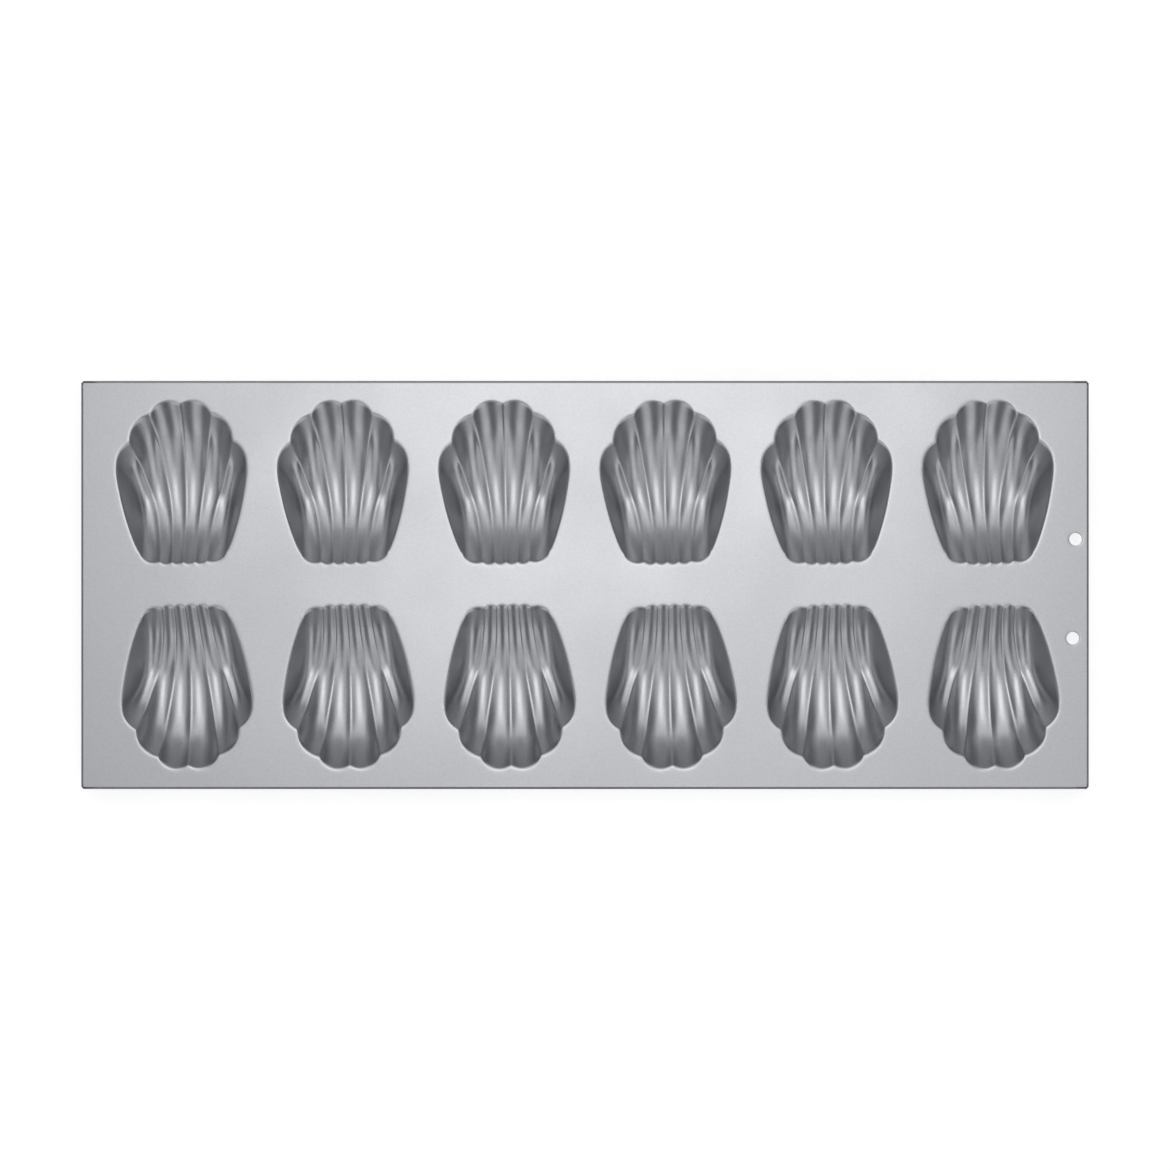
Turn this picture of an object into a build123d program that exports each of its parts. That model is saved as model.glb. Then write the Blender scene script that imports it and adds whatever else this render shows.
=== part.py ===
from build123d import *
import os
from math import cos, radians, sin, sqrt, tan

# Madeleine pan: a pressed sheet of tinned steel with twelve fluted shell cups.
# The cups hang under a flat deck in two rows of six, heel to heel.
# +X runs to the end with the two hanging holes, +Y to the back row, +Z up.
# The origin is under the middle of the sheet, on the surface that the cups stand on.
# One pressing makes the sheet. It is divided here along its pressing lines into
# the deck, the cups and the folded edges, which meet face to face.

# Sheet metal
gauge = 0.5
fold_width = 2.5

# One shell cup: its opening in the deck, its depth to the flute bottoms, and its walls
cup_width = 50.8
cup_length = 63.6
cup_depth = 14.5
wall_angle = 68
ear_turn = 30
flats_per_flute = 4

# Layout of the two rows. Each cup leans a little in the sheet.
cups_per_row = 6
web_between_cups = 12.45
gap_between_rows = 17.2
end_margin = 13.975
side_margin = 7.8
front_row_shift = 2.0
cup_lean = 1.3

# Hanging holes, set in from the fold along the right end
hole_radius = 2.5
back_hole_margin = 0.2
front_hole_margin = 1.3
back_hole_offset = 17.9
front_hole_offset = 20.9

# Places along each ridge between two flutes, as shares of half the cup's width and length.
# Columns: fan rim, fan slope, front of the floor, back of the floor, heel slope, heel rim.
# Rows: the middle ridge, the next one out, the outer ridge, and the top of the side wall.
line_x_share = (
    (0.000, 0.000, 0.000, 0.000, 0.000, 0.000),
    (0.457, 0.404, 0.327, 0.226, 0.187, 0.173),
    (0.783, 0.700, 0.587, 0.457, 0.384, 0.350),
    (0.996, 0.992, 0.957, 0.850, 0.732, 0.661),
)
line_y_share = (
    (0.950, 0.660, 0.267, -0.346, -0.708, -0.984),
    (0.840, 0.566, 0.198, -0.346, -0.708, -0.984),
    (0.503, 0.292, -0.009, -0.346, -0.708, -0.978),
    (0.220, 0.094, -0.094, -0.472, -0.755, -0.868),
)

# How high the ridges are at each of those columns, as shares of the way from floor to deck
rise_share = (1.0, 0.32, 0.0, 0.0, 0.31, 1.0)

# How far a flute swells past its two ridges, as shares of the distance between them:
# out of the metal's underside, and in the deck at the two rims, from the middle flute out
floor_sag_share = 0.17
fan_bulge_share = (0.25, 0.19, 0.134)
heel_bulge_share = (0.14, 0.14, 0.18)

# Derived sizes
deck_top = gauge + cup_depth
pitch = cup_width + web_between_cups
row_offset = (cup_length + gap_between_rows) / 2
sheet_length = (cups_per_row - 1) * pitch + cup_width + 2 * end_margin
sheet_width = 2 * row_offset + cup_length + 2 * side_margin
corner_cut = 2 * gauge
last_station = len(rise_share) - 1


def plan_point(line, station):
    x = line_x_share[line][station] * cup_width / 2
    y = line_y_share[line][station] * cup_length / 2
    return Vector(x, y)


def flute_spacing(line, station):
    return (plan_point(line + 1, station) - plan_point(line, station)).length


def ridge(line):
    # A ridge in space: in the deck at both rims, and one flute's sag above the floor
    points = []
    for station, rise in enumerate(rise_share):
        widest = max(flute_spacing(0, station), flute_spacing(1, station))
        low = gauge + floor_sag_share * widest
        height = low + rise * (deck_top - low)
        points.append(plan_point(line, station) + Vector(0, 0, height))
    return points


def runs_between(points):
    return [after - before for before, after in zip(points, points[1:])]


def lower_normal(run):
    # The direction out of the metal's underside, square to a run along the flute
    along = run.normalized()
    return (along * along.Z - Vector(0, 0, 1)).normalized()


def mean_lower_normals(points):
    # At each point of a ridge, that direction for the runs before and after it, made one,
    # and the cosine between the two
    normals = [lower_normal(run) for run in runs_between(points)]
    pairs = zip(normals[:1] + normals, normals + normals[-1:])
    return [((first + second).normalized(), first.dot(second)) for first, second in pairs]


def grown_ridge(line, growth):
    # The ridge on a skin that lies lower by the growth, with both ends still in the deck
    points = ridge(line)
    runs = runs_between(points)
    grown = []
    for point, (normal, cosine) in zip(points, mean_lower_normals(points)):
        grown.append(point + normal * (growth * sqrt(2 / (1 + cosine))))
    for end, run in ((0, runs[0]), (last_station, runs[-1])):
        grown[end] += run * ((deck_top - grown[end].Z) / run.Z)
    return grown


def grown_wall_top(growth):
    # The line where the side wall meets the deck, moved out by the wall's thickness
    points = [plan_point(3, station) for station in range(last_station + 1)]
    runs = runs_between(points)
    shift = growth / sin(radians(wall_angle))
    grown = []
    for station, point in enumerate(points):
        before = runs[max(station - 1, 0)].normalized()
        along = before + runs[min(station, last_station - 1)].normalized()
        out = Vector(-along.Y, along.X).normalized()
        grown.append(point + out * shift + Vector(0, 0, deck_top))
    return grown


def sampled_arc(start, through, end):
    # Points along an arc, one at each crease between the flats that make up a flute
    with BuildLine() as path:
        ThreePointArc(start, through, end)
    return [path.edge() @ (step / flats_per_flute) for step in range(flats_per_flute + 1)]


def hanging_points(start, end, sag):
    # The round bottom of a flute, hanging between its two ridges
    return sampled_arc(start, (start + end) / 2 + sag, end)


def rim_points(start, end, bulge_share):
    # The lobe that a flute makes in the deck, bulging away from the middle of the cup
    chord = end - start
    middle = (start + end) / 2
    out = Vector(-chord.Y, chord.X) * bulge_share
    if out.dot(middle) < 0:
        out = -out
    return sampled_arc(start, middle + out, end)


def ear_points(start, wall_top):
    # The outermost flute: a round bottom that runs straight into the side wall
    slope = radians(wall_angle)
    turn = radians(ear_turn)
    across = Vector(wall_top.X - start.X, wall_top.Y - start.Y)
    spread = sin(turn) + tan(slope / 2) + (1 - cos(turn)) / tan(slope)
    radius = (across.length - (deck_top - start.Z) / tan(slope)) / spread
    across = across.normalized()
    low = start + across * (radius * sin(turn)) - Vector(0, 0, radius * (1 - cos(turn)))
    foot = low + across * (radius * sin(slope)) + Vector(0, 0, radius * (1 - cos(slope)))
    return sampled_arc(start, low, foot)


def flats_between(near, far):
    # Two rows of points joined by flat triangles
    flats = []
    for step in range(len(near) - 1):
        flats.append([near[step], near[step + 1], far[step]])
        flats.append([near[step + 1], far[step + 1], far[step]])
    return [Face(Wire.make_polygon(corners)) for corners in flats]


def half_skin(growth, side):
    # Flats along three flutes, from the fan rim over the floor to the heel rim,
    # and the outline that they leave in the deck
    lines = [grown_ridge(line, growth) for line in range(3)] + [grown_wall_top(growth)]
    lines = [[Vector(side * p.X, p.Y, p.Z) for p in points] for points in lines]
    faces = []
    fan_rim = []
    heel_rim = []
    for line in range(3):
        near, far = lines[line], lines[line + 1]
        normals = mean_lower_normals(near)
        rows = [rim_points(near[0], far[0], fan_bulge_share[line])]
        for station in range(1, last_station):
            if line == 2:
                rows.append(ear_points(near[station], far[station]))
            else:
                depth = floor_sag_share * flute_spacing(line, station)
                sag = normals[station][0] * depth
                rows.append(hanging_points(near[station], far[station], sag))
        rows.append(rim_points(near[-1], far[-1], heel_bulge_share[line]))
        for front_row, back_row in zip(rows, rows[1:]):
            faces += flats_between(front_row, back_row)
        fan_rim += rows[0]
        heel_rim += rows[-1]
    # The side wall stands on the ear's round bottom and narrows to a point at each rim
    top = lines[3]
    foot = [top[0]] + [row[-1] for row in rows[1:-1]] + [top[-1]]
    faces += flats_between(foot, top)[1:-1]
    return faces, fan_rim + top + heel_rim[::-1]


def skin(growth):
    right_faces, right_rim = half_skin(growth, 1)
    left_faces, left_rim = half_skin(growth, -1)
    outline = []
    for point in right_rim + left_rim[::-1]:
        if not outline or (point - outline[-1]).length > gauge / 100:
            outline.append(point)
    return right_faces + left_faces, Wire.make_polygon(outline[:-1])


def closed_cup():
    # The sheet metal of one cup: inner skin, outer skin, and the ring between them
    inner_faces, inner_rim = skin(0)
    outer_faces, outer_rim = skin(gauge)
    return Solid(Shell(inner_faces + outer_faces + [Face(outer_rim, [inner_rim])]))


def cup_plug():
    # The space that a cup takes up below the top of the deck
    faces, rim = skin(gauge)
    return Solid(Shell(faces + [Face(rim)]))


def cup_places(row_side):
    # The back row's fans point to +Y, and the front row is the same turned half round
    first = -(cups_per_row - 1) * pitch / 2
    turn = cup_lean if row_side > 0 else cup_lean + 180
    shift = 0 if row_side > 0 else front_row_shift
    return [
        Location((first + column * pitch + shift, row_side * row_offset, 0), (0, 0, turn))
        for column in range(cups_per_row)
    ]


def folded_edge(run_length, reach):
    # A closed fold along +Y: the bend round the deck's edge and the strip under it,
    # mitred at both ends, with the corner trimmed where two folds meet
    bend = reach - gauge
    inner = reach - fold_width
    half = run_length / 2
    with BuildPart() as fold:
        with BuildSketch(Plane.YZ):
            with BuildLine():
                ThreePointArc(
                    (bend, deck_top),
                    (reach, deck_top - gauge),
                    (bend, deck_top - 2 * gauge),
                )
                Polyline(
                    (bend, deck_top - 2 * gauge),
                    (inner, deck_top - 2 * gauge),
                    (inner, deck_top - gauge),
                    (bend, deck_top - gauge),
                    (bend, deck_top),
                )
            make_face()
        extrude(amount=half, both=True)
        with BuildSketch():
            with BuildLine():
                Polyline(
                    (half - corner_cut, reach),
                    (half - corner_cut / 2, reach - corner_cut / 2),
                    (half - fold_width, inner),
                    (fold_width - half, inner),
                    (corner_cut / 2 - half, reach - corner_cut / 2),
                    (corner_cut - half, reach),
                    close=True,
                )
            make_face()
        extrude(amount=deck_top, mode=Mode.INTERSECT)
    return fold.part


os.makedirs("parts", exist_ok=True)
cup = closed_cup()
plug = cup_plug()

# Deck: the flat of the sheet, open at every cup and pierced for the two hanging holes
back_hole = (sheet_length / 2 - fold_width - back_hole_margin - hole_radius, back_hole_offset)
front_hole = (
    sheet_length / 2 - fold_width - front_hole_margin - hole_radius,
    -front_hole_offset,
)
with BuildPart() as deck_sheet:
    with BuildSketch(Plane.XY.offset(deck_top - gauge)):
        Rectangle(sheet_length - 2 * gauge, sheet_width - 2 * gauge)
        with Locations(back_hole, front_hole):
            Circle(hole_radius, mode=Mode.SUBTRACT)
    extrude(amount=gauge)
    with Locations(cup_places(1) + cup_places(-1)):
        add(plug, mode=Mode.SUBTRACT)
deck_sheet.part.label = "deck_sheet"
export_step(deck_sheet.part, "parts/deck_sheet.step")

# Cups: one pressing shape in twelve places
for row_name, row_side in (("back", 1), ("front", -1)):
    for column, place in enumerate(cup_places(row_side), start=1):
        with BuildPart() as shell_cup:
            with Locations(place):
                add(cup)
        shell_cup.part.label = f"{row_name}_cup_{column}"
        export_step(shell_cup.part, f"parts/{row_name}_cup_{column}.step")

# Folded edges along the four sides
for side_name, turn, run_length, reach in (
    ("back", 0, sheet_length, sheet_width / 2),
    ("left", 90, sheet_width, sheet_length / 2),
    ("front", 180, sheet_length, sheet_width / 2),
    ("right", 270, sheet_width, sheet_length / 2),
):
    with BuildPart() as edge_fold:
        with Locations(Location((0, 0, 0), (0, 0, turn))):
            add(folded_edge(run_length, reach))
    edge_fold.part.label = f"{side_name}_fold"
    export_step(edge_fold.part, f"parts/{side_name}_fold.step")
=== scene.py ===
"""A madeleine pan: one pressed sheet of tinned steel with fluted shell cups.

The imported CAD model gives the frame. Every node of it is replaced by a finer mesh of the same
sheet: the deck, the cups in two rows, and the folds along the edges. The sizes are the source's,
but here the flutes are smooth, the creases rounded and the slopes of the cups a little gentler.
The classes work in millimetres, and the meshes are in metres.
"""

import logging
import math
from dataclasses import dataclass
from enum import Enum
from typing import Iterable, Sequence

import bmesh
import bpy
import numpy as np
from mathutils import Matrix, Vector


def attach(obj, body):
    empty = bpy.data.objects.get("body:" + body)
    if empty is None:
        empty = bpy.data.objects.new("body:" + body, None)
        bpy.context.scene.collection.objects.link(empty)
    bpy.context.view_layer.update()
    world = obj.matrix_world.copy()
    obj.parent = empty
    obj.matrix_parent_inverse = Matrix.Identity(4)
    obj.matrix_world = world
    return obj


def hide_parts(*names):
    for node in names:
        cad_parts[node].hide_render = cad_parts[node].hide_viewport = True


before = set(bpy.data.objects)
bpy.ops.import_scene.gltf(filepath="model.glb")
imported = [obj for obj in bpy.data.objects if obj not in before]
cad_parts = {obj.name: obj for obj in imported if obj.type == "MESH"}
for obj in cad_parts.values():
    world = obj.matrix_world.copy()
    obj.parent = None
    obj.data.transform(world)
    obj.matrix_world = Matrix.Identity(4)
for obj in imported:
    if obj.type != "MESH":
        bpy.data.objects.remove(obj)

log = logging.getLogger("madeleine_pan")

METRES_PER_MM = 0.001
BODY = "root"
HALF_TURN = 180.0

# The sRGB curve: straight up to the knee, and a power above it
SRGB_KNEE = 0.04045
SRGB_SLOPE = 12.92
SRGB_OFFSET = 0.055
SRGB_POWER = 2.4

# A Mix node gives one name to its sockets for each kind of data, so the colour ones go by number
MIX_COLOUR_A = 6
MIX_COLOUR_B = 7
MIX_COLOUR_RESULT = 2

UP = np.array([0.0, 0.0, 1.0])
IN_PLAN = np.array([1.0, 1.0, 0.0])
MIRRORED_IN_X = np.array([-1.0, 1.0, 1.0])

Point = np.ndarray
Socket = bpy.types.NodeSocket


class Row(Enum):
    """The two rows of cups. Each value is the sign of Y on that row's side of the sheet."""

    BACK = 1
    FRONT = -1


def linear(hex_colour: str) -> tuple[float, float, float, float]:
    """Turns an sRGB colour into the linear values that Blender's sockets take.

    Args:
        hex_colour: a colour such as "#C8CACD".

    Returns:
        Linear red, green, blue and an alpha of 1.
    """
    light = []
    for start in (1, 3, 5):
        share = int(hex_colour[start : start + 2], 16) / 255
        if share <= SRGB_KNEE:
            light.append(share / SRGB_SLOPE)
        else:
            light.append(((share + SRGB_OFFSET) / (1 + SRGB_OFFSET)) ** SRGB_POWER)
    return (*light, 1.0)


def per_metre(size_mm: float) -> float:
    """The texture scale at which one feature of a pattern is this many millimetres wide."""
    return 1.0 / (size_mm * METRES_PER_MM)


def add_node(
    tree: bpy.types.NodeTree,
    kind: str,
    settings: dict[str, object] | None = None,
    links: dict[str | int, Socket | object] | None = None,
) -> bpy.types.Node:
    """Adds one node, sets its properties, and links or fills its inputs.

    Args:
        tree: the material's or world's node tree.
        kind: the node's type, such as "ShaderNodeTexNoise".
        settings: the node's own properties, by name.
        links: its inputs, by name or number. A socket is linked, and anything else is a value.

    Returns:
        The new node.
    """
    node = tree.nodes.new(kind)
    for name, value in (settings or {}).items():
        setattr(node, name, value)
    for key, value in (links or {}).items():
        if isinstance(value, Socket):
            tree.links.new(value, node.inputs[key])
        else:
            node.inputs[key].default_value = value
    return node


def travelled(path: np.ndarray) -> np.ndarray:
    """How far along a path each of its points is."""
    return np.concatenate([[0.0], np.cumsum(np.linalg.norm(np.diff(path, axis=0), axis=1))])


def smooth_mesh(
    name: str, points: Sequence[Sequence[float]], faces: Iterable[Sequence[int]]
) -> bpy.types.Mesh:
    """Makes a smooth-shaded mesh from points in millimetres.

    Args:
        name: the mesh's name.
        points: corner positions, in millimetres.
        faces: corner numbers of each face, anticlockwise from outside.

    Returns:
        The mesh, in metres.
    """
    mesh = bpy.data.meshes.new(name)
    in_metres = (np.asarray(points, float) * METRES_PER_MM).tolist()
    mesh.from_pydata(in_metres, [], [list(map(int, face)) for face in faces])
    mesh.polygons.foreach_set("use_smooth", [True] * len(mesh.polygons))
    mesh.update()
    return mesh


def place_piece(name: str, mesh: bpy.types.Mesh, material: bpy.types.Material) -> None:
    """Puts a mesh in the scene in place of a CAD node, riding on the pan's one body.

    Args:
        name: the CAD node that the piece stands for.
        mesh: the piece's mesh, made in its place.
        material: its finish.
    """
    mesh.materials.append(material)
    piece = bpy.data.objects.new(f"{name}_sheet", mesh)
    bpy.context.scene.collection.objects.link(piece)
    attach(piece, BODY)
    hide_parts(name)
    log.info("%s: %d faces", name, len(mesh.polygons))


@dataclass(frozen=True)
class TinnedSteel:
    """Tinplate: rolled steel sheet with a thin matt layer of tin, pressed and not polished after.

    To the eye it is a cool pale grey metal with soft, wide reflections, a fine speckle from the
    rolled surface and slow drifts in how matt the tin is. Steep walls are painted a darker grey:
    that is painted shade, set by how upright the surface's normal is.
    """

    name: str = "satin_tinplate"
    colour: str = "#DADBDE"
    dull_colour: str = "#C6C7CB"
    roughness: float = 0.32
    roughness_drift: float = 0.06
    # The marks of the rolls are about 0.2 mm apart and the ripples of the tin layer about 1 mm.
    # Both are too fine for the render, so they are drawn coarser.
    speckle_mm: float = 0.8
    peel_mm: float = 2.2
    drift_mm: float = 46.0
    speckle_height_mm: float = 0.006
    peel_height_mm: float = 0.012
    # How many finer layers each noise has, and how strong they are in the speckle
    speckle_detail: float = 2.0
    speckle_grain: float = 0.6
    peel_detail: float = 1.0
    drift_detail: float = 3.0
    # The values that the noise of the slow drifts mostly stays between
    drift_low: float = 0.3
    drift_high: float = 0.7
    # Painted shade on steep walls: how much of its brightness a steep wall keeps. The upright part
    # of the surface's normal says how steep it is: fully shaded up to the first value, unshaded
    # from the second.
    wall_shade_share: float = 0.62
    steep_upright: float = 0.35
    flat_upright: float = 0.86

    def material(self) -> bpy.types.Material:
        """Builds the material's nodes.

        Returns:
            The finished material.
        """
        material = bpy.data.materials.new(self.name)
        material.use_nodes = True
        tree = material.node_tree
        tree.nodes.clear()
        place = add_node(tree, "ShaderNodeTexCoord").outputs["Object"]
        speckle = add_node(
            tree,
            "ShaderNodeTexNoise",
            links={
                "Vector": place,
                "Scale": per_metre(self.speckle_mm),
                "Detail": self.speckle_detail,
                "Roughness": self.speckle_grain,
            },
        )
        peel = add_node(
            tree,
            "ShaderNodeTexNoise",
            links={
                "Vector": place,
                "Scale": per_metre(self.peel_mm),
                "Detail": self.peel_detail,
            },
        )
        drift = add_node(
            tree,
            "ShaderNodeTexNoise",
            links={
                "Vector": place,
                "Scale": per_metre(self.drift_mm),
                "Detail": self.drift_detail,
            },
        )
        colour = add_node(
            tree,
            "ShaderNodeMix",
            {"data_type": "RGBA"},
            {
                "Factor": speckle.outputs["Fac"],
                MIX_COLOUR_A: linear(self.dull_colour),
                MIX_COLOUR_B: linear(self.colour),
            },
        )
        # Painted shade: the colour is scaled darker on steep walls, by how upright the normal is
        facing = add_node(tree, "ShaderNodeNewGeometry").outputs["Normal"]
        upright = add_node(tree, "ShaderNodeSeparateXYZ", links={"Vector": facing}).outputs["Z"]
        flatness = add_node(tree, "ShaderNodeMath", {"operation": "ABSOLUTE"}, {0: upright})
        steep_wall_shade = add_node(
            tree,
            "ShaderNodeMapRange",
            links={
                "Value": flatness.outputs[0],
                "From Min": self.steep_upright,
                "From Max": self.flat_upright,
                "To Min": self.wall_shade_share,
                "To Max": 1.0,
            },
        )
        shaded_colour = add_node(
            tree,
            "ShaderNodeVectorMath",
            {"operation": "SCALE"},
            {0: colour.outputs[MIX_COLOUR_RESULT], "Scale": steep_wall_shade.outputs["Result"]},
        )
        roughness = add_node(
            tree,
            "ShaderNodeMapRange",
            links={
                "Value": drift.outputs["Fac"],
                "From Min": self.drift_low,
                "From Max": self.drift_high,
                "To Min": self.roughness - self.roughness_drift / 2,
                "To Max": self.roughness + self.roughness_drift / 2,
            },
        )
        peel_bump = add_node(
            tree,
            "ShaderNodeBump",
            links={
                "Height": peel.outputs["Fac"],
                "Strength": 1.0,
                "Distance": self.peel_height_mm * METRES_PER_MM,
            },
        )
        bump = add_node(
            tree,
            "ShaderNodeBump",
            links={
                "Height": speckle.outputs["Fac"],
                "Strength": 1.0,
                "Distance": self.speckle_height_mm * METRES_PER_MM,
                "Normal": peel_bump.outputs["Normal"],
            },
        )
        metal = add_node(
            tree,
            "ShaderNodeBsdfPrincipled",
            links={
                "Metallic": 1.0,
                "Base Color": shaded_colour.outputs[0],
                "Roughness": roughness.outputs["Result"],
                "Normal": bump.outputs["Normal"],
            },
        )
        add_node(tree, "ShaderNodeOutputMaterial", links={"Surface": metal.outputs["BSDF"]})
        return material


@dataclass
class ShellCup:
    """One fluted shell cup, in its own frame: fan towards +Y, heel towards −Y, in millimetres.

    Three flutes lie each side of the middle ridge, the outermost of them an ear. Each one runs
    from the fan rim down to the floor, along it, and up to the heel rim. The half at +X is drawn,
    and the other half mirrors it.
    """

    deck_top: float = 15.0
    gauge: float = 0.5
    width: float = 50.8
    length: float = 63.6
    wall_angle: float = 68.0
    ear_turn: float = 30.0
    # Columns: fan rim, fan slope, front of the floor, back of the floor, heel slope, heel rim.
    # Rows: the middle ridge, the next one out, the outer ridge, the top of the side wall.
    line_x_share: tuple[tuple[float, ...], ...] = (
        (0.000, 0.000, 0.000, 0.000, 0.000, 0.000),
        (0.457, 0.404, 0.327, 0.226, 0.187, 0.173),
        (0.783, 0.700, 0.587, 0.457, 0.384, 0.350),
        (0.996, 0.992, 0.957, 0.850, 0.732, 0.661),
    )
    line_y_share: tuple[tuple[float, ...], ...] = (
        (0.950, 0.660, 0.267, -0.346, -0.708, -0.984),
        (0.840, 0.566, 0.198, -0.346, -0.708, -0.984),
        (0.503, 0.292, -0.009, -0.346, -0.708, -0.978),
        (0.220, 0.094, -0.094, -0.472, -0.755, -0.868),
    )
    # How high the ridges are at each of those columns, as shares of the way from floor to deck
    rise_share: tuple[float, ...] = (1.0, 0.39, 0.06, 0.07, 0.46, 1.0)
    # How far each flute hangs below its ridges, and swells past them at a rim, as shares of its
    # width. The rims' shares are for the flutes from the middle one out.
    floor_sag_share: float = 0.145
    fan_bulge_share: tuple[float, ...] = (0.25, 0.19, 0.134)
    heel_bulge_share: tuple[float, ...] = (0.25, 0.25, 0.23)
    # How finely the sheet is meshed
    steps_per_flute: int = 15
    steps_per_ear: int = 24
    ear_points: int = 24
    steps_along: int = 110
    # The rings of deck that the pressing takes in round the cup, by their distance from its rim
    flange_steps: tuple[float, ...] = (0.6, 1.2, 1.9, 2.7, 3.6, 4.6)
    # How far the press rounds the sheet, as the spread of each softened crease, and how far below
    # the deck the ridges' value gives way to the rims'
    ridge_softness: float = 0.58
    rim_softness: float = 0.5
    rim_depth: float = 2.4
    # How often the pull along the mesh lines is worked out afresh, and the rounds each time
    soften_stages: int = 3
    soften_rounds: int = 60
    # Rounds in which the lines from the rim into the deck are turned to fan out
    flange_turn_rounds: int = 400

    @property
    def wall_line(self) -> int:
        """The last row of the plan tables, which is the top of the side wall."""
        return len(self.line_x_share) - 1

    @property
    def ear_line(self) -> int:
        """The row of the outer ridge, where the ear begins."""
        return self.wall_line - 1

    def plan_point(self, line: int, station: int) -> Point:
        """Finds a point of the plan tables.

        Args:
            line: the row of the tables.
            station: their column.

        Returns:
            The point, at height 0.
        """
        x = self.line_x_share[line][station] * self.width / 2
        y = self.line_y_share[line][station] * self.length / 2
        return np.array([x, y, 0.0])

    def spacing(self, line: int, station: int) -> float:
        """The distance from a ridge to the next one out, at a station."""
        across = self.plan_point(line + 1, station) - self.plan_point(line, station)
        return float(np.linalg.norm(across))

    def ridge_point(self, line: int, station: int) -> Point:
        """Finds a point of a ridge, or of the top of the side wall, in space.

        Args:
            line: the row of the plan tables.
            station: their column.

        Returns:
            The point. At a rim it is in the deck, and on the floor about one flute's sag above it.
        """
        if line == self.wall_line:
            return self.plan_point(line, station) + UP * self.deck_top
        widest = max(self.spacing(inner, station) for inner in range(self.ear_line))
        low = self.gauge + self.floor_sag_share * widest
        height = low + self.rise_share[station] * (self.deck_top - low)
        return self.plan_point(line, station) + UP * height

    def hang(self, line: int, station: int) -> Point:
        """Finds which way a flute hangs.

        Args:
            line: the row of the ridge on its inner side.
            station: the column, which isn't a rim's.

        Returns:
            The unit direction out of the underside, square to the ridge.
        """
        ahead = self.ridge_point(line, station + 1) - self.ridge_point(line, station)
        behind = self.ridge_point(line, station) - self.ridge_point(line, station - 1)
        along = ahead / np.linalg.norm(ahead) + behind / np.linalg.norm(behind)
        along /= np.linalg.norm(along)
        down = along * along[2] - UP
        return down / np.linalg.norm(down)

    def arc(self, start: Point, end: Point, sagitta: Point, steps: int) -> np.ndarray:
        """Divides a circular arc.

        Args:
            start: its first point.
            end: its last point.
            sagitta: from the middle of the chord to the middle of the arc.
            steps: how many stretches to divide it into.

        Returns:
            One row per point.
        """
        chord = end - start
        half = np.linalg.norm(chord) / 2
        rise = np.linalg.norm(sagitta)
        radius = (half * half + rise * rise) / (2 * rise)
        swing = math.atan2(half, radius - rise)
        angles = np.linspace(-swing, swing, steps + 1)[:, None]
        along, out = chord / (2 * half), sagitta / rise
        middle = (start + end) / 2
        across = along * radius * np.sin(angles)
        return middle + across + out * (radius * np.cos(angles) - radius + rise)

    def ear_section(self, start: Point, wall_top: Point) -> np.ndarray:
        """Draws the ear on the floor, as a round bottom that runs straight into the side wall.

        Args:
            start: the outer ridge's point.
            wall_top: the point at the top of the side wall.

        Returns:
            Points of the bottom, up to where the straight wall begins.
        """
        slope, turn = math.radians(self.wall_angle), math.radians(self.ear_turn)
        across = (wall_top - start) * IN_PLAN
        reach = float(np.linalg.norm(across))
        across = across / reach
        spread = math.sin(turn) + math.tan(slope / 2) + (1 - math.cos(turn)) / math.tan(slope)
        radius = (reach - (wall_top[2] - start[2]) / math.tan(slope)) / spread
        angles = np.linspace(-turn, slope, self.ear_points)[:, None]
        bottom = start + across * radius * math.sin(turn) - UP * radius * (1 - math.cos(turn))
        return bottom + across * radius * np.sin(angles) + UP * radius * (1 - np.cos(angles))

    def bulge(self, start: Point, end: Point, share: float) -> Point:
        """Finds how far a lobe of the rim swells in the deck, away from the middle of the cup.

        Args:
            start: the lobe's inner end.
            end: its outer end.
            share: the swell, as a share of the chord.

        Returns:
            The way from the middle of the chord to the middle of the lobe.
        """
        chord = end - start
        out = np.array([-chord[1], chord[0], 0.0]) * share
        return out if out @ (start + end) > 0 else -out

    def sections(self, line: int) -> np.ndarray:
        """Draws one flute's section at each station.

        Args:
            line: the row of the ridge on its inner side.

        Returns:
            Rows of points, from the fan rim to the heel rim.
        """
        last = len(self.rise_share) - 1
        near = [self.ridge_point(line, station) for station in range(last + 1)]
        far = [self.ridge_point(line + 1, station) for station in range(last + 1)]
        ear = line == self.ear_line
        steps = self.ear_points - 1 if ear else self.steps_per_flute
        fan = self.bulge(near[0], far[0], self.fan_bulge_share[line])
        cuts = [self.arc(near[0], far[0], fan, steps)]
        for station in range(1, last):
            if ear:
                cuts.append(self.ear_section(near[station], far[station]))
            else:
                sag = self.hang(line, station) * self.floor_sag_share * self.spacing(line, station)
                cuts.append(self.arc(near[station], far[station], sag, steps))
        heel = self.bulge(near[-1], far[-1], self.heel_bulge_share[line])
        cuts.append(self.arc(near[-1], far[-1], heel, steps))
        return np.array(cuts)

    def even_steps(self, path: np.ndarray, steps: int) -> np.ndarray:
        """Divides a path into stretches of equal length.

        Args:
            path: its points.
            steps: how many stretches to make.

        Returns:
            The new points, with both ends.
        """
        known = travelled(path)
        wanted = np.linspace(0.0, known[-1], steps + 1)
        return np.stack([np.interp(wanted, known, axis) for axis in path.T], axis=1)

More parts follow.
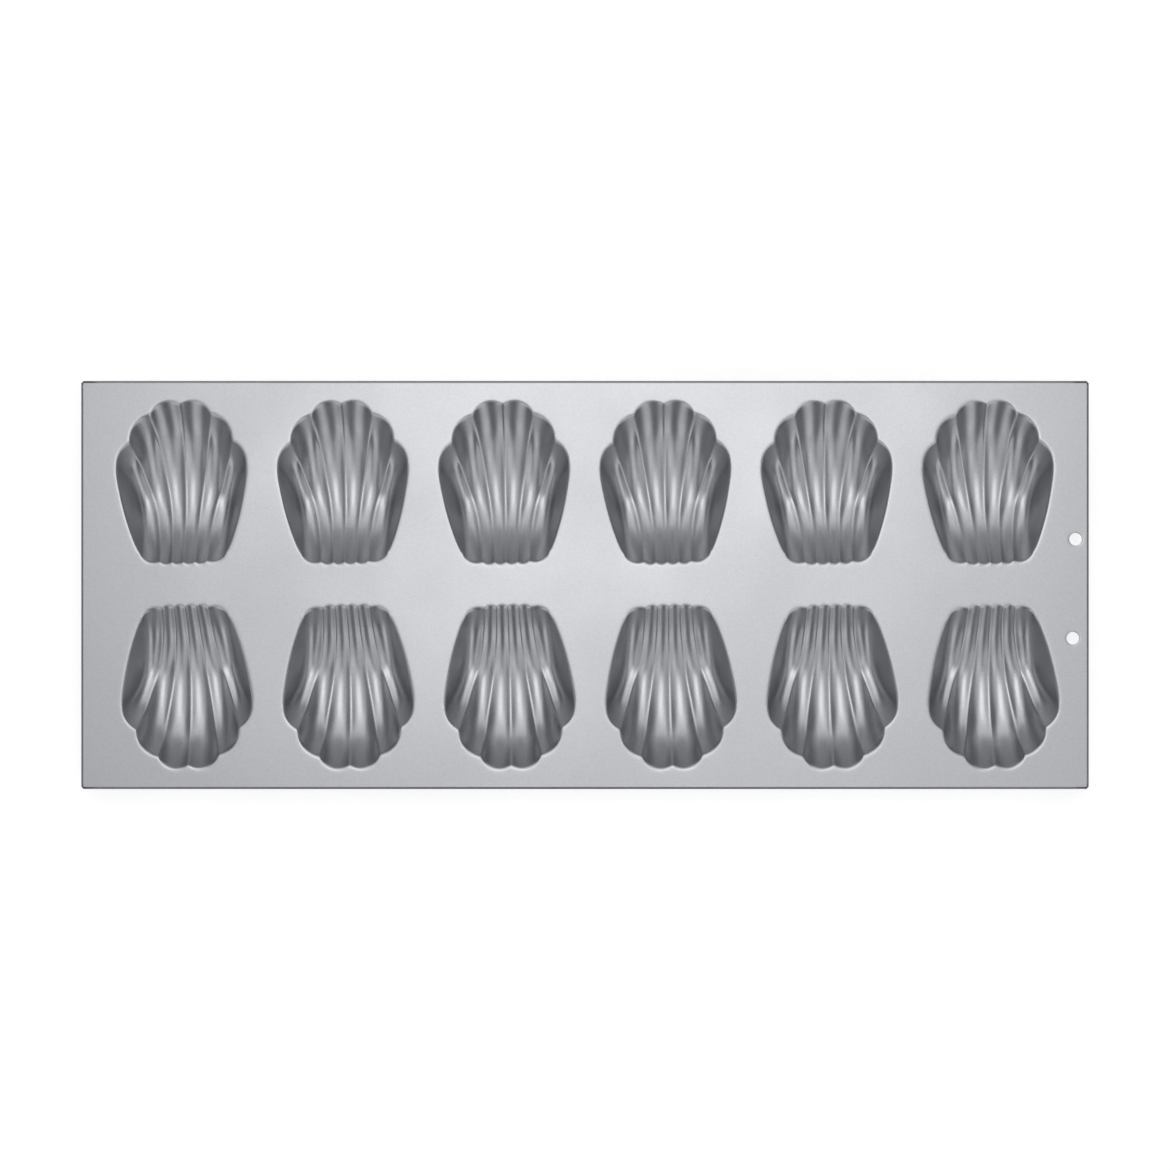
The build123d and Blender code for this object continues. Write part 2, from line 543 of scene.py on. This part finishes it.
    def spline_shares(self, knots: np.ndarray, wanted: np.ndarray) -> np.ndarray:
        """Finds how much of each station goes into each place on a smooth curve through all.

        Args:
            knots: where the stations are along the curve.
            wanted: where the places are along it.

        Returns:
            One row per place and one column per station, of a natural cubic spline.
        """
        count = len(knots)
        gaps = np.diff(knots)
        system = np.eye(count)
        right = np.zeros((count, count))
        for i in range(1, count - 1):
            system[i, i - 1 : i + 2] = gaps[i - 1], 2 * (gaps[i - 1] + gaps[i]), gaps[i]
            right[i, i - 1 : i + 2] = 6 / gaps[i - 1], -6 / gaps[i - 1] - 6 / gaps[i], 6 / gaps[i]
        bend = np.linalg.solve(system, right)
        span = np.clip(np.searchsorted(knots, wanted, side="right") - 1, 0, count - 2)
        gap = gaps[span]
        after = (wanted - knots[span]) / gap
        before = 1 - after
        place = np.arange(len(wanted))
        shares = np.zeros((len(wanted), count))
        shares[place, span] = before
        shares[place, span + 1] = after
        shares += ((before**3 - before) * gap**2 / 6)[:, None] * bend[span]
        shares += ((after**3 - after) * gap**2 / 6)[:, None] * bend[span + 1]
        return shares

    def crosswise_rows(self) -> np.ndarray:
        """Draws the cup's inner face before its creases are rounded.

        Returns:
            Rows from the fan rim to the heel rim, each with points from −X to +X.
        """
        flutes = [self.sections(line) for line in range(self.wall_line)]
        stations = range(len(self.rise_share))
        tops = np.array([self.ridge_point(self.wall_line, station) for station in stations])
        # The ridge next to the middle one says how far apart the stations are
        knots = travelled(np.array([self.ridge_point(1, station) for station in stations]))
        shares = self.spline_shares(knots, np.linspace(0.0, knots[-1], self.steps_along + 1))
        smooth = [np.tensordot(shares, cuts, 1) for cuts in flutes]
        smooth_tops = shares @ tops
        rows = []
        for first, second, ear, top in zip(*smooth, smooth_tops):
            outer = self.even_steps(np.concatenate([ear, top[None]]), self.steps_per_ear)
            half = np.concatenate([first, second[1:], outer[1:]])
            mirrored = half[:0:-1] * MIRRORED_IN_X
            rows.append(np.concatenate([mirrored, half]))
        return np.array(rows)

    def flange_directions(self, rim: np.ndarray) -> np.ndarray:
        """Finds which way the deck lies from each point of the rim, so that the lines fan out.

        Args:
            rim: the closed outline, clockwise from the fan's left end.

        Returns:
            Unit vectors in the plane of the deck.
        """
        ahead = np.roll(rim, -1, axis=0) - np.roll(rim, 1, axis=0)
        out = np.stack([-ahead[:, 1], ahead[:, 0], np.zeros(len(rim))], axis=1)
        out /= np.linalg.norm(out, axis=1)[:, None]
        # Each direction moves towards the mean of its neighbours', round by round
        for _ in range(self.flange_turn_rounds):
            out = (np.roll(out, 1, axis=0) + 2 * out + np.roll(out, -1, axis=0)) / 4
        out /= np.linalg.norm(out, axis=1)[:, None]
        outward = np.sign((out * (rim - rim.mean(axis=0))).sum())
        return out * outward

    def soften(self, points: np.ndarray, lines: list[np.ndarray], fixed: np.ndarray) -> np.ndarray:
        """Rounds creases as the press does, by letting each mesh line straighten a little.

        Args:
            points: the mesh's points.
            lines: the edges across the cup and the edges along it, as rows of two point numbers.
            fixed: True for each point that stays.

        Returns:
            The points after rounding.
        """
        # The softness changes from the ridges' to the rims' by a smooth step near the deck
        near_deck = (points[:, 2] - (self.deck_top - self.rim_depth)) / self.rim_depth
        ease = np.clip(near_deck, 0.0, 1.0)
        ease = ease * ease * (3 - 2 * ease)
        softness = self.ridge_softness + (self.rim_softness - self.ridge_softness) * ease
        # A crease spreads over s after diffusion by s * s / 2, which the stages share out
        spread = np.where(fixed, 0.0, softness**2 / 2 / self.soften_stages)
        for _ in range(self.soften_stages):
            weights = []
            for edges in lines:
                both = np.concatenate([edges, edges[:, ::-1]])
                length = np.linalg.norm(points[both[:, 0]] - points[both[:, 1]], axis=1)
                span = np.bincount(both[:, 0], length, len(points))
                neighbours = np.bincount(both[:, 0], minlength=len(points))
                pull = spread[both[:, 0]] * 2 / (length * span[both[:, 0]])
                # The ends of a line have no neighbour on one side, and aren't pulled along it
                pull[neighbours[both[:, 0]] != 2] = 0.0
                weights.append((both, pull))
            ends = np.concatenate([both for both, _ in weights])
            pull = np.concatenate([pull for _, pull in weights])
            total = 1.0 + np.bincount(ends[:, 0], pull, len(points))
            start = points.copy()
            for _ in range(self.soften_rounds):
                reach = points[ends[:, 1]] * pull[:, None]
                drawn = [np.bincount(ends[:, 0], reach[:, axis], len(points)) for axis in range(3)]
                points = (start + np.stack(drawn, axis=1)) / total[:, None]
        return points

    def sheet(self) -> tuple[np.ndarray, np.ndarray, np.ndarray]:
        """Draws the upper face of the cup and of the ring of deck round it.

        Returns:
            Its points, its four-sided faces, and the numbers of the points on its outer edge, in
            order.
        """
        rows = self.crosswise_rows()
        count_y, count_x = rows.shape[:2]
        number = np.arange(count_y * count_x).reshape(count_y, count_x)
        rim = np.concatenate([number[0, :-1], number[:-1, -1], number[-1, :0:-1], number[:0:-1, 0]])
        inner = rows.reshape(-1, 3)
        out = self.flange_directions(inner[rim])
        rings = [rim]
        points = [inner]
        for distance in self.flange_steps:
            rings.append(sum(map(len, points)) + np.arange(len(rim)))
            points.append(inner[rim] + out * distance)
        rings = np.array(rings)
        points = np.concatenate(points)
        faces = [
            np.stack([number[1:, :-1], number[1:, 1:], number[:-1, 1:], number[:-1, :-1]], -1),
            np.stack(
                [rings[:-1], np.roll(rings[:-1], -1, 1), np.roll(rings[1:], -1, 1), rings[1:]], -1
            ),
        ]
        faces = np.concatenate([block.reshape(-1, 4) for block in faces])
        round_rim = [np.stack([ring, np.roll(ring, -1)], 1) for ring in rings[1:]]
        out_from_rim = [np.stack([near, far], 1) for near, far in zip(rings, rings[1:])]
        # At the side walls the lines across the cup run on into the deck, and elsewhere those
        # along it do
        right_side = count_x - 1
        heel = right_side + count_y - 1
        left_side = heel + count_x - 1
        on_side = np.zeros(len(rim), bool)
        on_side[right_side:heel] = True
        on_side[left_side:] = True
        crosswise = [np.stack([number[:, :-1].ravel(), number[:, 1:].ravel()], 1)]
        lengthwise = [np.stack([number[:-1].ravel(), number[1:].ravel()], 1)]
        for ring in round_rim:
            crosswise.append(ring[~on_side])
            lengthwise.append(ring[on_side])
        for spoke in out_from_rim:
            crosswise.append(spoke[on_side])
            lengthwise.append(spoke[~on_side])
        fixed = np.zeros(len(points), bool)
        fixed[rings[-1]] = True
        points = self.soften(points, [np.concatenate(crosswise), np.concatenate(lengthwise)], fixed)
        return points, faces, rings[-1]

    def pressing(self) -> tuple[np.ndarray, np.ndarray, np.ndarray]:
        """Builds the cup as sheet metal with both its faces.

        Returns:
            Its points in millimetres, its faces, and the outline of its flange in the deck's plane.
        """
        points, faces, edge = self.sheet()
        upper = smooth_mesh("cup_upper", points, faces)
        normals = np.array([vertex.normal[:] for vertex in upper.vertices])
        bpy.data.meshes.remove(upper)
        normals[edge] = UP
        lower = points - normals * self.gauge
        both_faces = np.concatenate([faces, faces[:, ::-1] + len(points)])
        return np.concatenate([points, lower]), both_faces, points[edge]


@dataclass
class CupRows:
    """The twelve cups in their two rows, heel to heel, in millimetres and degrees."""

    per_row: int = 6
    pitch: float = 63.25
    row_offset: float = 40.4
    # How far the front row stands to the right of the back one, and every cup's slight turn
    front_shift: float = 2.0
    lean: float = 1.3

    def places(self, row: Row) -> list[tuple[float, float, float]]:
        """Finds where the cups of one row are.

        Args:
            row: which row.

        Returns:
            Each cup's centre and its turn about +Z in degrees, from left to right.
        """
        turn = self.lean if row is Row.BACK else self.lean + HALF_TURN
        shift = 0.0 if row is Row.BACK else self.front_shift
        first = -(self.per_row - 1) * self.pitch / 2
        return [
            (first + column * self.pitch + shift, row.value * self.row_offset, turn)
            for column in range(self.per_row)
        ]

    def put(self, points: np.ndarray, place: tuple[float, float, float]) -> np.ndarray:
        """Moves points of a cup to its place in the sheet.

        Args:
            points: the points, in the cup's own frame.
            place: the cup's centre and its turn about +Z in degrees.

        Returns:
            The points in the sheet's frame.
        """
        x, y, turn = place
        cos, sin = math.cos(math.radians(turn)), math.sin(math.radians(turn))
        return points @ np.array([[cos, sin, 0], [-sin, cos, 0], [0, 0, 1]]) + np.array([x, y, 0])

    def outlines(self, outline: np.ndarray) -> list[np.ndarray]:
        """Each cup's flange outline, in its place in the deck."""
        return [self.put(outline, place)[:, :2] for row in Row for place in self.places(row)]

    def build(self, points: np.ndarray, faces: np.ndarray, material: bpy.types.Material) -> None:
        """Builds the twelve cups.

        Args:
            points: the points of one cup, in its own frame.
            faces: its faces.
            material: the sheet's finish.
        """
        for row in Row:
            for column, place in enumerate(self.places(row), start=1):
                name = f"{row.name.lower()}_cup_{column}"
                place_piece(name, smooth_mesh(name, self.put(points, place), faces), material)


@dataclass
class Deck:
    """The flat of the sheet, with the cups' openings and two pierced holes, in millimetres."""

    length: float = 395.0
    width: float = 160.0
    top: float = 15.0
    gauge: float = 0.5
    # How far in from the sheet's edge the folds end and the deck begins
    edge_inset: float = 0.9
    holes: tuple[tuple[float, float], ...] = ((192.3, 17.9), (191.2, -20.9))
    hole_radius: float = 2.5
    # How far out from the hole its rounded edge reaches, and the ring of flat sheet round that
    hole_edge_reach: float = 0.42
    hole_ring_reach: float = 1.26
    hole_edge_steps: int = 5
    hole_steps: int = 48

    def hole_bands(self) -> list[tuple[float, float]]:
        """Draws the edge of a hole, rounded from both faces of the sheet.

        Returns:
            Radius and height of each ring round the hole, from the upper face to the lower one.
        """
        reach, drop = self.hole_edge_reach, self.gauge / 2
        angles = np.linspace(0, math.pi / 2, self.hole_edge_steps + 1)
        arc = [(reach * (1 - math.sin(a)), drop * (1 - math.cos(a))) for a in angles]
        upper = [(self.hole_radius + out, self.top - down) for out, down in arc]
        middle = self.top - drop
        lower = [(radius, 2 * middle - height) for radius, height in reversed(upper[:-1])]
        flat = self.hole_radius + self.hole_ring_reach
        return [(flat, self.top), *upper, *lower, (flat, self.top - self.gauge)]

    def upper_face(self, loops: list[np.ndarray]) -> tuple[np.ndarray, list[list[int]]]:
        """Fills the deck's upper face.

        Args:
            loops: its outline, then each opening in it.

        Returns:
            Its points, and its faces, all turned up.
        """
        shape = bmesh.new()
        edges = []
        for loop in loops:
            ring = [shape.verts.new((x, y, self.top)) for x, y in loop]
            edges += [shape.edges.new((a, b)) for a, b in zip(ring, ring[1:] + ring[:1])]
        bmesh.ops.triangle_fill(shape, use_beauty=True, use_dissolve=False, edges=edges)
        shape.verts.index_update()
        points = np.array([vertex.co[:] for vertex in shape.verts])
        faces = []
        for face in shape.faces:
            corners = [vertex.index for vertex in face.verts]
            faces.append(corners if face.normal.z > 0 else corners[::-1])
        shape.free()
        return points, faces

    def mesh(self, cup_outlines: list[np.ndarray]) -> bpy.types.Mesh:
        """Draws both faces of the deck and the edges of its holes.

        Args:
            cup_outlines: the flange outline of each cup.

        Returns:
            The deck's mesh.
        """
        half_x = self.length / 2 - self.edge_inset
        half_y = self.width / 2 - self.edge_inset
        outline = [(-half_x, -half_y), (half_x, -half_y), (half_x, half_y), (-half_x, half_y)]
        angles = np.linspace(0, 2 * math.pi, self.hole_steps, endpoint=False)
        circle = np.stack([np.cos(angles), np.sin(angles)], axis=1)
        bands = self.hole_bands()
        hole_rings = [np.array(hole) + circle * bands[0][0] for hole in self.holes]
        upper, faces = self.upper_face([np.array(outline), *cup_outlines, *hole_rings])
        points = [upper, upper - UP * self.gauge]
        faces += [[number + len(upper) for number in reversed(face)] for face in faces]
        for hole in self.holes:
            start = sum(map(len, points))
            for radius, height in bands:
                ring = np.array(hole) + circle * radius
                points.append(np.column_stack([ring, np.full(len(ring), height)]))
            for band in range(len(bands) - 1):
                here = start + band * self.hole_steps
                inner = here + self.hole_steps
                for step in range(self.hole_steps):
                    after = (step + 1) % self.hole_steps
                    faces.append([here + step, here + after, inner + after, inner + step])
        return smooth_mesh("deck", np.concatenate(points), faces)

    def build(self, cup_outlines: list[np.ndarray], material: bpy.types.Material) -> None:
        """Builds the deck between the folds and the cups."""
        place_piece("deck_sheet", self.mesh(cup_outlines), material)


@dataclass
class Folds:
    """The sheet's edges, folded under, flattened and mitred at the corners, in millimetres."""

    length: float = 395.0
    width: float = 160.0
    top: float = 15.0
    gauge: float = 0.5
    fold_width: float = 2.5
    # How far from a corner of the sheet the cut across it meets each side
    corner_cut: float = 1.0
    # How far in the bend reaches, the flat from it to the deck, and the bevel of the sheet's edge
    edge_roll: float = 0.85
    flat_run: float = 0.05
    lip: float = 0.1
    bend_steps: int = 12
    run_steps: int = 60

    def section(self) -> list[tuple[float, float]]:
        """Draws the fold's outline, from the deck's upper face round to its lower one.

        Returns:
            The distance in from the sheet's edge, and the height, of each point.
        """
        angles = np.linspace(0, math.pi, self.bend_steps + 1)
        bend = [
            (self.edge_roll * (1 - math.sin(a)), self.top - self.gauge * (1 - math.cos(a)))
            for a in angles
        ]
        between = self.top - self.gauge
        under = between - self.gauge
        return [
            (self.edge_roll + self.flat_run, self.top),
            *bend,
            (self.fold_width - self.lip, under),
            (self.fold_width, under + self.lip),
            (self.fold_width, between - self.lip),
            (self.fold_width - self.lip, between),
            (self.edge_roll + self.flat_run, between),
        ]

    def mesh(self, run_length: float, reach: float, turn: float) -> bpy.types.Mesh:
        """Draws the fold along one side.

        Args:
            run_length: the side's length.
            reach: how far the side is from the middle of the sheet.
            turn: the side's place, as degrees about +Z from the back edge.

        Returns:
            The fold's mesh, in its place.
        """
        section = self.section()
        angle = math.radians(turn)
        points = []
        for step in range(self.run_steps + 1):
            share = 2 * step / self.run_steps - 1
            for inset, height in section:
                end = run_length / 2 - max(inset, self.corner_cut - inset)
                along, out = share * end, reach - inset
                x = along * math.cos(angle) - out * math.sin(angle)
                y = along * math.sin(angle) + out * math.cos(angle)
                points.append((x, y, height))
        size = len(section)
        faces = []
        for step in range(self.run_steps):
            for corner in range(size - 1):
                here = step * size + corner
                faces.append([here, here + 1, here + size + 1, here + size])
        first = list(range(size))
        last = [self.run_steps * size + corner for corner in first]
        faces += [first[::-1], last]
        return smooth_mesh("fold", points, faces)

    def build(self, material: bpy.types.Material) -> None:
        """Builds the four folds.

        Args:
            material: the finish of the bent sheet, a darker copy of the tin as painted shade.
        """
        sides = (
            ("back_fold", self.length, self.width / 2, 0.0),
            ("left_fold", self.width, self.length / 2, 90.0),
            ("front_fold", self.length, self.width / 2, 180.0),
            ("right_fold", self.width, self.length / 2, 270.0),
        )
        for name, run_length, reach, turn in sides:
            place_piece(name, self.mesh(run_length, reach, turn), material)


@dataclass(frozen=True)
class WhitePaper:
    """Uncoated paper from the roll. To the eye it is plain matt white, less the pan's shadow."""

    name: str = "matt_white_paper"
    colour: str = "#F4F4F4"
    # What the paper's own light adds to the lamps' light on it, to make it white to the eye
    glow_colour: str = "#FFFFFF"
    glow: float = 0.57

    def material(self) -> bpy.types.Material:
        """Builds the material's nodes. Only what sees the paper or mirrors it sees it glow.

        Returns:
            The finished material.
        """
        material = bpy.data.materials.new(self.name)
        material.use_nodes = True
        tree = material.node_tree
        tree.nodes.clear()
        path = add_node(tree, "ShaderNodeLightPath")
        seen = path.outputs["Is Camera Ray"]
        for ray in ("Is Glossy Ray", "Is Transmission Ray"):
            either = add_node(
                tree, "ShaderNodeMath", {"operation": "MAXIMUM"}, {0: seen, 1: path.outputs[ray]}
            )
            seen = either.outputs[0]
        paper = add_node(tree, "ShaderNodeBsdfDiffuse", links={"Color": linear(self.colour)})
        strength = add_node(
            tree, "ShaderNodeMath", {"operation": "MULTIPLY"}, {0: seen, 1: self.glow}
        )
        glow = add_node(
            tree,
            "ShaderNodeEmission",
            links={"Color": linear(self.glow_colour), "Strength": strength.outputs[0]},
        )
        lit = add_node(
            tree,
            "ShaderNodeAddShader",
            links={0: paper.outputs["BSDF"], 1: glow.outputs["Emission"]},
        )
        add_node(tree, "ShaderNodeOutputMaterial", links={"Surface": lit.outputs["Shader"]})
        return material


@dataclass(frozen=True)
class Softbox:
    """One soft lamp, aimed at the middle of the floor. Metres for lengths, watts for power."""

    name: str
    place: tuple[float, float, float]
    size: tuple[float, float]
    power: float

    def build(self) -> None:
        """Adds the lamp."""
        lamp = bpy.data.lights.new(self.name, "AREA")
        lamp.shape = "RECTANGLE"
        lamp.size, lamp.size_y = self.size
        lamp.energy = self.power
        holder = bpy.data.objects.new(self.name, lamp)
        holder.location = self.place
        toward = Vector() - Vector(self.place)
        holder.rotation_euler = toward.to_track_quat("-Z", "Y").to_euler()
        bpy.context.scene.collection.objects.link(holder)


@dataclass
class Studio:
    """A pale floor, a dome of softboxes and a camera straight above, in metres."""

    floor_half: float = 6.0
    world_colour: str = "#8C8D90"
    world_strength: float = 0.36
    camera_height: float = 1.165
    # What the picture spans at the height of the deck
    picture_width: float = 0.4585
    deck_height: float = 0.015
    sensor_width_mm: float = 36.0
    # Each lamp's name, place, width and depth, and power. They join into one soft dome, brightest
    # above and behind, so that the cups show broad bands and no lamp's outline.
    lamps: tuple[Softbox, ...] = (
        Softbox("overhead", (0.02, 0.22, 1.5), (0.72, 0.72), 1.7),
        Softbox("overhead_wide", (0.03, 0.1, 1.6), (3.0, 1.3), 5.0),
        Softbox("behind", (0.0, 1.1, 1.45), (2.0, 1.0), 4.2),
        Softbox("behind_low", (0.0, 1.8, 0.75), (1.6, 0.9), 0.7),
        Softbox("back_left", (-0.9, 1.3, 0.8), (0.8, 0.9), 0.6),
        Softbox("back_right", (0.9, 1.3, 0.8), (0.8, 0.9), 0.6),
        Softbox("front_left", (-0.75, -0.9, 1.2), (1.1, 1.2), 2.0),
        Softbox("front_right", (0.75, -0.9, 1.2), (1.1, 1.2), 2.0),
        Softbox("front_low_left", (-0.9, -1.5, 0.45), (0.9, 0.8), 1.7),
        Softbox("front_low_right", (0.9, -1.5, 0.45), (0.9, 0.8), 1.7),
        Softbox("side_left", (-1.7, -0.2, 0.55), (0.8, 0.8), 1.0),
        Softbox("side_right", (1.7, -0.2, 0.55), (0.8, 0.8), 1.0),
    )

    def floor(self) -> None:
        """Makes the floor."""
        half = self.floor_half / METRES_PER_MM
        corners = [(-half, -half, 0), (half, -half, 0), (half, half, 0), (-half, half, 0)]
        mesh = smooth_mesh("floor", corners, [(0, 1, 2, 3)])
        mesh.materials.append(WhitePaper().material())
        floor = bpy.data.objects.new("floor", mesh)
        bpy.context.scene.collection.objects.link(floor)

    def light(self) -> None:
        """Adds the lamps and the even light of the room."""
        for lamp in self.lamps:
            lamp.build()
        world = bpy.data.worlds.new("studio")
        world.use_nodes = True
        tree = world.node_tree
        tree.nodes.clear()
        room = add_node(
            tree,
            "ShaderNodeBackground",
            links={"Color": linear(self.world_colour), "Strength": self.world_strength},
        )
        add_node(tree, "ShaderNodeOutputWorld", links={"Surface": room.outputs["Background"]})
        bpy.context.scene.world = world

    def camera(self) -> None:
        """Adds the camera, which looks straight down on the middle of the sheet."""
        data = bpy.data.cameras.new("camera")
        above_deck = self.camera_height - self.deck_height
        data.sensor_width = self.sensor_width_mm
        data.lens = self.sensor_width_mm * above_deck / self.picture_width
        camera = bpy.data.objects.new("camera", data)
        camera.location = (0.0, 0.0, self.camera_height)
        bpy.context.scene.collection.objects.link(camera)
        bpy.context.scene.camera = camera

    def build(self) -> None:
        """Makes the whole studio."""
        self.floor()
        self.light()
        self.camera()
        bpy.context.scene.view_settings.view_transform = "Standard"


def main() -> None:
    """Builds the pan's pieces in order, then the studio."""
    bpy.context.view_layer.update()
    tin = TinnedSteel().material()
    cup_points, cup_faces, flange = ShellCup().pressing()
    rows = CupRows()
    rows.build(cup_points, cup_faces, tin)
    Deck().build(rows.outlines(flange), tin)
    # The folds get a darker copy of the tin: painted shade, so that the rim reads as a darker line
    fold_shade_tin = TinnedSteel(
        name="fold_tinplate_painted_shade", colour="#A3A4A8", dull_colour="#929397", roughness=0.38
    )
    Folds().build(fold_shade_tin.material())
    Studio().build()


if __name__ == "__main__":
    logging.basicConfig(level=logging.INFO)
    main()
